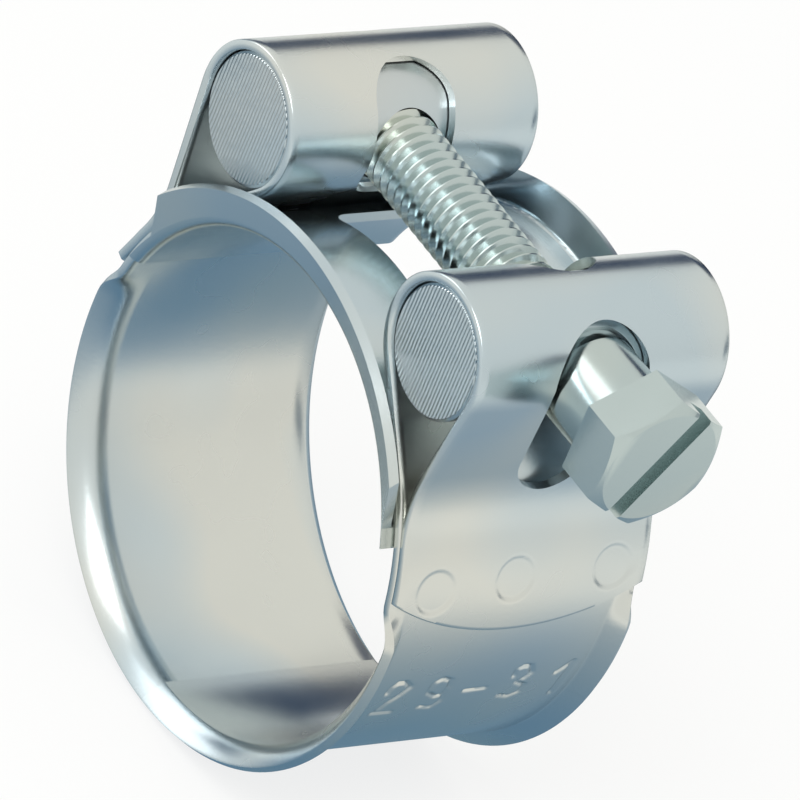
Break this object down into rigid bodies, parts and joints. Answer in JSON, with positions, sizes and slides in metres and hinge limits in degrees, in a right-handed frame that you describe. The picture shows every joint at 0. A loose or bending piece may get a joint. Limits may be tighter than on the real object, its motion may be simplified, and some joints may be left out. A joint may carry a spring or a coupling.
{
  "type": "bolt hose clamp",
  "caption": "Heavy-duty hose clamp: flared steel band with folded loops on cross pins, a bridge under the gap and a hex bolt that draws the ends together.",
  "frame": {"origin": "centre of the hose bore, half way along its width", "axes": "+Y along the hose, away from the pin ends in the picture; +X along the bolt towards its head; +Z from the hose's centre up to the bolt"},
  "size_m": [0.0394, 0.0212, 0.0402],
  "materials": {
    "band_steel": "satin",
    "bridge_steel": "satin",
    "pin_steel": "satin",
    "bolt_steel": "satin"
  },
  "bodies": {
    "ring": {"band": "band_steel"},
    "bridge": {"bridge": "bridge_steel"},
    "rear_pin": {"rear_trunnion": "pin_steel"},
    "front_pin": {"front_trunnion": "pin_steel"},
    "bolt": {"bolt": "bolt_steel"}
  },
  "joints": [
    {"name": "rear_close", "type": "slide", "parent": "ring", "child": "rear_pin", "axis": [1, 0, 0], "range_m": [0, 0.00316], "deforming": ["band"]},
    {"name": "front_close", "type": "slide", "parent": "ring", "child": "front_pin", "axis": [-1, 0, 0], "range_m": [0, 0.00316], "deforming": ["band"]},
    {"name": "bridge_settle", "type": "slide", "parent": "ring", "child": "bridge", "axis": [0, 0, -1], "range_m": [0, 0.002]},
    {"name": "bolt_turn", "type": "hinge", "parent": "front_pin", "child": "bolt", "pos_m": [0.0108, 0, 0.01835], "axis": [-1, 0, 0], "range_deg": [0, 2835]}
  ],
  "couplings": [
    {"joint": "bolt_turn", "follows": "bridge_settle", "rad_per_m": 24740},
    {"joint": "rear_close", "follows": "bridge_settle", "ratio": 1.575},
    {"joint": "front_close", "follows": "bridge_settle", "ratio": 1.575}
  ]
}
